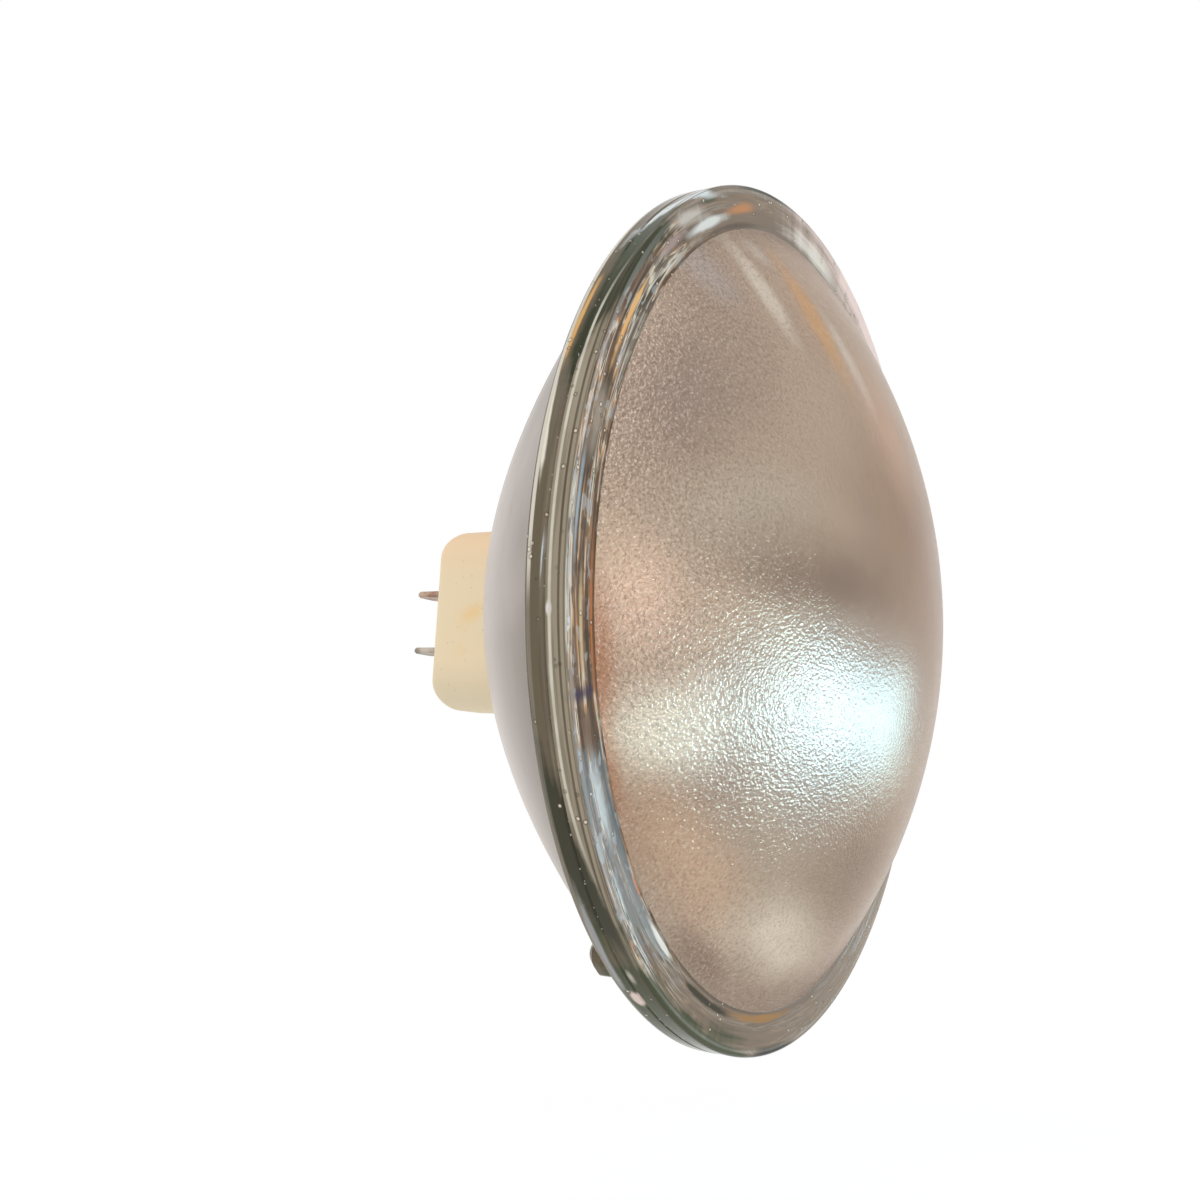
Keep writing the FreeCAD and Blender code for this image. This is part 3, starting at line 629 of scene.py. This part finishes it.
def revolved(name, runs, segments, names):
    # closed solid of revolution about Y; each run's faces take the finish of the run that they lead to
    points, marks = [], []
    for finish, run in runs:
        for point in run:
            if points and math.dist(points[-1], point) < 1e-6:
                continue
            points.append(point)
            marks.append(names.index(finish))
    made = bmesh.new()
    rings = []
    for radius, along in points:
        if radius < 1e-9:
            rings.append([made.verts.new((0, along * mm, 0))])
            continue
        ring = []
        for step in range(segments):
            angle = 2 * math.pi * step / segments
            place = (radius * mm * math.cos(angle), along * mm, radius * mm * math.sin(angle))
            ring.append(made.verts.new(place))
        rings.append(ring)
    for index in range(1, len(rings)):
        first, second = rings[index - 1], rings[index]
        for step in range(segments):
            after = (step + 1) % segments
            if len(first) == 1:
                corners = (first[0], second[step], second[after])
            elif len(second) == 1:
                corners = (first[step], second[0], first[after])
            else:
                corners = (first[step], second[step], second[after], first[after])
            made.faces.new(corners).material_index = marks[index]
    return closedPiece(name, made, names)


def closedPiece(name, made, names, mark=None):
    # the finished mesh as an object, with faces that point outwards
    bmesh.ops.recalc_face_normals(made, faces=made.faces)
    if mark is not None:
        for face in made.faces:
            face.material_index = names.index(mark)
    mesh = bpy.data.meshes.new(name)
    for finish in names:
        mesh.materials.append(finishes[finish])
    made.to_mesh(mesh)
    made.free()
    piece = bpy.data.objects.new(name, mesh)
    bpy.context.scene.collection.objects.link(piece)
    return piece


def smooth(mesh, angle=32):
    mesh.polygons.foreach_set("use_smooth", [True] * len(mesh.polygons))
    mesh.set_sharp_from_angle(angle=math.radians(angle))


def barPiece(name, places, mark):
    # closed bar through rings of places
    made = bmesh.new()
    rings = [[made.verts.new(place) for place in ring] for ring in places]
    count = len(rings[0])
    for first, second in zip(rings, rings[1:]):
        for step in range(count):
            after = (step + 1) % count
            made.faces.new((first[step], first[after], second[after], second[step]))
    made.faces.new(rings[0])
    made.faces.new(rings[-1])
    return closedPiece(name, made, bowlFinishes, mark)


def solidRound(name, radius, z, front, back, chamfer=0.0):
    # round bar along Y with an optional chamfer at its back
    segments = glass["barSegments"]
    stations = [(radius, front), (radius, back - chamfer)]
    if chamfer:
        stations.append((radius - chamfer, back))
    rings = []
    for r, y in stations:
        ring = []
        for step in range(segments):
            angle = 2 * math.pi * step / segments
            ring.append((r * math.cos(angle) * mm, y * mm, (z + r * math.sin(angle)) * mm))
        rings.append(ring)
    return barPiece(name, rings, "back")


def solidOblong(name, mark, length, width, stations, put):
    # rounded bar along Y, long side along Z, with a ring of its outline for each station
    steps = glass["endSteps"]
    rings = []
    for y, less in stations:
        ring = []
        for end in (1, -1):
            for step in range(steps + 1):
                angle = math.radians(-90 + 180 * step / steps)
                along = end * (length - width) + end * (width - less) * math.cos(angle)
                across = end * (width - less) * math.sin(angle)
                ring.append(put @ Vector((across * mm, y * mm, along * mm)))
        rings.append(ring)
    return barPiece(name, rings, mark)


def carve(piece, tool, operation):
    step = piece.modifiers.new("carve", "BOOLEAN")
    step.operation = operation
    step.solver = "EXACT"
    step.object = tool
    evaluated = piece.evaluated_get(bpy.context.evaluated_depsgraph_get())
    mesh = bpy.data.meshes.new_from_object(evaluated)
    piece.modifiers.remove(step)
    old = piece.data
    piece.data = mesh
    bpy.data.meshes.remove(old)
    tools = tool.data
    bpy.data.objects.remove(tool)
    bpy.data.meshes.remove(tools)


lensFinishes = ["dome", "rim", "face", "joint"]
lensPiece = revolved("lensGlass", lensProfile(glass), glass["segments"], lensFinishes)
smooth(lensPiece.data)
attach(lensPiece, "root")
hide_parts("lens")

bowlFinishes = ["mirror", "rim", "joint", "back"]
bowlPiece = revolved("bowlGlass", bowlProfile(glass), glass["segments"], bowlFinishes)
padTop = glass["bowlFlange"] + glass["padHeight"]
padStations = [(glass["bowlFlange"] / 2, 0), (padTop - glass["padChamfer"], 0), (padTop, glass["padChamfer"])]
for index in range(glass["padCount"]):
    turn = Matrix.Rotation(math.radians(-glass["firstPad"] - 360 / glass["padCount"] * index), 4, "Y")
    outward = Matrix.Translation((0, 0, glass["padCentre"] * mm))
    put = turn @ outward @ Matrix.Rotation(math.radians(90), 4, "Y")
    pad = solidOblong("pad", "rim", glass["padLength"], glass["padWidth"], padStations, put)
    carve(bowlPiece, pad, "UNION")
bossBack = glass["bowlDepth"] + glass["bossHeight"]
bossStations = [(glass["bowlDepth"] - glass["wall"] / 2, 0), (bossBack, 0)]
boss = solidOblong("boss", "back", glass["bossLength"], glass["bossWidth"], bossStations, Matrix())
carve(bowlPiece, boss, "UNION")
exhaustEnd = bossBack + glass["exhaustLength"]
exhaust = solidRound("exhaust", glass["exhaust"], 0, glass["bowlDepth"], exhaustEnd, glass["exhaustChamfer"])
carve(bowlPiece, exhaust, "UNION")
for side in (1, -1):
    aside = side * glass["ferruleSpacing"] / 2
    bore = solidRound("bore", glass["ferrule"], aside, glass["ferruleStart"], bossBack + 1)
    carve(bowlPiece, bore, "DIFFERENCE")
smooth(bowlPiece.data)
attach(bowlPiece, "root")
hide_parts("reflector")
print("stage: glass,", len(lensPiece.data.polygons), len(bowlPiece.data.polygons), "faces")


# Seeds and bubbles in the groove of the fused joint

bubbles = {
    "Count": 170, "Ring Radius": 0.10128, "Spread": 0.0003,
    "Smallest": 0.00008, "Largest": 0.00024, "Seed": 7,
}


def makeBubbles(values):
    tree = bpy.data.node_groups.new("jointBubbles", "GeometryNodeTree")
    sockets = {}
    tree.interface.new_socket("Geometry", in_out="INPUT", socket_type="NodeSocketGeometry")
    for name, value in values.items():
        kind = "NodeSocketInt" if isinstance(value, int) else "NodeSocketFloat"
        sockets[name] = tree.interface.new_socket(name, in_out="INPUT", socket_type=kind).identifier
    tree.interface.new_socket("Geometry", in_out="OUTPUT", socket_type="NodeSocketGeometry")
    given = tree.nodes.new("NodeGroupInput")
    output = tree.nodes.new("NodeGroupOutput")

    def node(kind, settings=None, inputs=None, out=0):
        made = tree.nodes.new(kind)
        for key, value in (settings or {}).items():
            setattr(made, key, value)
        for key, value in (inputs or {}).items():
            if isinstance(value, bpy.types.NodeSocket):
                tree.links.new(value, made.inputs[key])
            else:
                made.inputs[key].default_value = value
        return made.outputs[out]

    def maths(operation, first, second=0.0):
        return node("ShaderNodeMath", {"operation": operation}, {0: first, 1: second})

    def anyOf(low, high, more):
        seed = maths("ADD", given.outputs["Seed"], more)
        return node("FunctionNodeRandomValue", {"data_type": "FLOAT"}, {2: low, 3: high, 8: seed}, out=1)

    angle = anyOf(0.0, 2 * math.pi, 0)
    aside = anyOf(-1.0, 1.0, 1)
    ring = given.outputs["Ring Radius"]
    place = node("ShaderNodeCombineXYZ", None, {0: maths("MULTIPLY", ring, maths("COSINE", angle)),
                                                1: maths("MULTIPLY", aside, given.outputs["Spread"]),
                                                2: maths("MULTIPLY", ring, maths("SINE", angle))})
    points = node("GeometryNodePoints", None, {"Count": given.outputs["Count"], "Position": place})
    size = anyOf(given.outputs["Smallest"], given.outputs["Largest"], 2)
    bead = node("GeometryNodeMeshIcoSphere", None, {"Radius": 1.0, "Subdivisions": 2})
    beads = node("GeometryNodeInstanceOnPoints", None, {"Points": points, "Instance": bead, "Scale": size})
    solid = node("GeometryNodeRealizeInstances", None, {0: beads})
    solid = node("GeometryNodeSetMaterial", None, {"Geometry": solid, "Material": finishes["bubble"]})
    tree.links.new(solid, output.inputs[0])

    mesh = bpy.data.meshes.new("jointBubbles")
    piece = bpy.data.objects.new("jointBubbles", mesh)
    bpy.context.scene.collection.objects.link(piece)
    step = piece.modifiers.new("jointBubbles", "NODES")
    step.node_group = tree
    for name, value in values.items():
        step[sockets[name]] = value
    evaluated = piece.evaluated_get(bpy.context.evaluated_depsgraph_get())
    result = bpy.data.meshes.new_from_object(evaluated)
    piece.modifiers.remove(step)
    piece.data = result
    bpy.data.meshes.remove(mesh)
    result.polygons.foreach_set("use_smooth", [True] * len(result.polygons))
    return piece


bubblePiece = makeBubbles(bubbles)
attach(bubblePiece, "root")
print("stage: joint bubbles,", len(bubblePiece.data.polygons), "faces")


# Finishes of the carried-over nodes

ceramicLook = {
    "cream": paint(232, 214, 180), "peach": paint(238, 208, 172), "grey": paint(214, 200, 170),
    "warm": paint(240, 200, 140), "stainAndPaintedLight": paint(236, 202, 144), "speck": paint(150, 130, 100),
    # metres along Z over which the colour changes: peachier in painted light towards the top, greyer in painted
    # shade towards the bottom
    "paintedLightAbove": (0.008, 0.024), "paintedShadeBelow": (-0.010, -0.024),
    # noise levels, and the shares of a colour that they give
    "warmScale": 60.0, "warmLevels": (0.52, 0.75, 0.0, 0.5),
    "speckScale": 420.0, "speckLevels": (0.14, 0.06, 0.0, 0.25),
    # stain on the side at -X: y, z, half length, half width in mm, turn from Y towards Z
    "stainPlace": (81.5, 1.2, 6.0, 3.6, -25), "stainStrength": 0.8,
    "roughness": 0.62, "roughnessSpread": 0.1, "grainScale": 1500.0, "grainDepth": 0.00005,
}


def makeCeramic(values):
    look = Look("creamCeramic")
    spot = look.place()
    x, y, z = look.axes(spot)
    # painted light makes the top peachier and painted shade makes the bottom greyer
    tone = look.mix(look.between(z, *values["paintedLightAbove"]), values["cream"], values["peach"])
    tone = look.mix(look.between(z, *values["paintedShadeBelow"]), tone, values["grey"])
    clouds = look.noise(spot, values["warmScale"], 2.0)
    tone = look.mix(look.between(clouds, *values["warmLevels"]), tone, values["warm"])
    stainAndPaintedLight = look.oval(look.join(y, 0.0, z), *values["stainPlace"]) * look.between(x, 0.0, -0.002)
    tone = look.mix(stainAndPaintedLight * values["stainStrength"], tone, values["stainAndPaintedLight"])
    specks = look.between(look.cells(spot, values["speckScale"]), *values["speckLevels"])
    tone = look.mix(specks, tone, values["speck"])
    grain = look.noise(spot, values["grainScale"], 3.0, 0.6)
    rough = values["roughness"] + values["roughnessSpread"] * grain
    bump = look.bump(grain, values["grainDepth"], 0.5)
    return look.finish(look.principled(baseColor=tone, roughness=rough, metallic=0.0, normal=bump))


cementLook = {
    "dark": paint(176, 168, 152), "light": paint(214, 206, 190), "roughness": 0.9,
    "grainScale": 900.0, "grainDepth": 0.0001, "grainStrength": 0.6,
}


def makeCement(values):
    look = Look("greyCement")
    spot = look.place()
    grain = look.noise(spot, values["grainScale"], 4.0, 0.65)
    tone = look.mix(grain, values["dark"], values["light"])
    bump = look.bump(grain, values["grainDepth"], values["grainStrength"])
    return look.finish(look.principled(baseColor=tone, roughness=values["roughness"], normal=bump))


quartzLook = {
    "dark": paint(236, 236, 234), "light": paint(250, 250, 248), "hazeScale": 180.0,
    "roughness": 0.02, "roughnessSpread": 0.04, "ior": 1.46, "transmission": 1.0,
}


def makeQuartz(values):
    look = Look("clearQuartz")
    spot = look.place()
    haze = look.noise(spot, values["hazeScale"], 2.0)
    tone = look.mix(haze, values["dark"], values["light"])
    rough = values["roughness"] + values["roughnessSpread"] * haze
    return look.finish(look.principled(baseColor=tone, roughness=rough, ior=values["ior"],
                                       transmission=values["transmission"]))


# what all metals share; the scratches run along Y
metalLook = {
    "cloudLevels": (0.35, 0.65), "roughnessSpread": 0.15,
    "scratchScale": (9000.0, 700.0, 9000.0), "scratchDepth": 0.00001, "scratchStrength": 0.4,
}


def makeMetal(name, first, second, roughness, scale, values=metalLook):
    look = Look(name)
    spot = look.place()
    cloud = look.noise(spot, scale, 3.0, 0.6)
    scratch = look.noise(look.stretched(spot, values["scratchScale"]), 1.0, 2.0)
    tone = look.mix(look.between(cloud, *values["cloudLevels"]), first, second)
    rough = roughness + values["roughnessSpread"] * cloud
    bump = look.bump(scratch, values["scratchDepth"], values["scratchStrength"])
    return look.finish(look.principled(baseColor=tone, metallic=1.0, roughness=rough, normal=bump))


metals = {
    "bladeUpper": makeMetal("bladeCopper", paint(142, 108, 90), paint(190, 168, 150), 0.35, 160.0),
    "bladeLower": makeMetal("bladeGrey", paint(126, 112, 98), paint(186, 176, 164), 0.35, 160.0),
    "nickel": makeMetal("nickel", paint(176, 170, 160), paint(206, 202, 196), 0.25, 120.0),
    "tungsten": makeMetal("tungsten", paint(92, 90, 90), paint(140, 138, 136), 0.4, 400.0),
}
dressing = {
    "ceramic_base": makeCeramic(ceramicLook), "base_cement": makeCement(cementLook),
    "burner_envelope": makeQuartz(quartzLook),
    "prong_upper": metals["bladeUpper"], "prong_lower": metals["bladeLower"],
    "filament": metals["tungsten"], "filament_anchor": metals["tungsten"],
}
for name, piece in nodes.items():
    if name in ("lens", "reflector"):
        continue
    finish = dressing.get(name, metals["nickel"])
    if not piece.data.materials:
        piece.data.materials.append(finish)
    for index in range(len(piece.data.materials)):
        piece.data.materials[index] = finish
print("stage: node finishes")


# Floor, lamps and surroundings

studio = {
    "floor": -0.22, "floorHalf": 3.0, "floorColour": (0.86, 0.86, 0.86), "floorGlow": 0.35,
    # metres from the middle over which the floor turns into plain white
    "whitens": (0.28, 0.6),
    "fill": 0.5,
}


def makeFloor(values):
    half, level = values["floorHalf"], values["floor"]
    mesh = bpy.data.meshes.new("floor")
    corners = [(-half, -half, level), (half, -half, level), (half, half, level), (-half, half, level)]
    mesh.from_pydata(corners, [], [(0, 1, 2, 3)])
    floor = bpy.data.objects.new("floor", mesh)
    bpy.context.scene.collection.objects.link(floor)
    look = Look("paleFloor")
    spot = look.place()
    x, y, z = look.axes(spot)
    away = (x * x + y * y) ** 0.5
    seen = look.seenPlain()
    lit = look.principled(baseColor=values["floorColour"], roughness=0.9, glow=(1.0, 1.0, 1.0),
                          glowStrength=values["floorGlow"])
    white = look.node("ShaderNodeEmission", None, {0: (1.0, 1.0, 1.0, 1.0), 1: 1.0})
    far = look.between(away, *values["whitens"])
    mesh.materials.append(look.finish(look.blendShaders(seen * far, lit, white)))


makeFloor(studio)

world = bpy.data.worlds.new("studio")
bpy.context.scene.world = world
look = Look("studio", world)
strength = studio["fill"] + look.seenPlain() * (1.0 - studio["fill"])
look.finish(look.node("ShaderNodeBackground", None, {0: (1.0, 1.0, 1.0, 1.0), 1: strength}))

# metres, watts, and degrees of roll
lamps = {
    "key": {"at": (-0.7, -0.5, 1.0), "width": 1.6, "height": 1.6, "power": 7.5, "roll": 0,
            "colour": (1.0, 0.98, 0.95)},
    "glare": {"at": (0.405, -0.712, -0.150), "width": 0.38, "height": 0.17, "power": 1.7, "roll": 10,
              "colour": (0.50, 0.85, 1.0)},
    "glareSide": {"at": (0.690, -0.450, -0.100), "width": 0.34, "height": 0.17, "power": 0.78, "roll": 10,
                  "colour": (0.42, 0.80, 1.0)},
    "glow": {"at": (-0.09, -0.90, -0.08), "width": 0.30, "height": 0.24, "power": 0.24, "roll": 0,
             "colour": (1.0, 0.95, 0.90)},
    "rear": {"at": (-0.5, 0.9, 0.6), "width": 0.8, "height": 0.8, "power": 3.0, "roll": 0,
             "colour": (1.0, 0.97, 0.95)},
}
for name, values in lamps.items():
    data = bpy.data.lights.new(name, "AREA")
    data.shape = "RECTANGLE"
    data.size = values["width"]
    data.size_y = values["height"]
    data.energy = values["power"]
    data.color = values["colour"]
    lamp = bpy.data.objects.new(name, data)
    bpy.context.scene.collection.objects.link(lamp)
    at = Vector(values["at"])
    facing = (-at).to_track_quat("-Z", "Y").to_matrix().to_4x4()
    roll = Matrix.Rotation(math.radians(values["roll"]), 4, "Z")
    lamp.matrix_world = Matrix.Translation(at) @ facing @ roll
    lamp.visible_camera = False
bpy.context.scene.view_settings.view_transform = "Standard"
print("stage: studio")
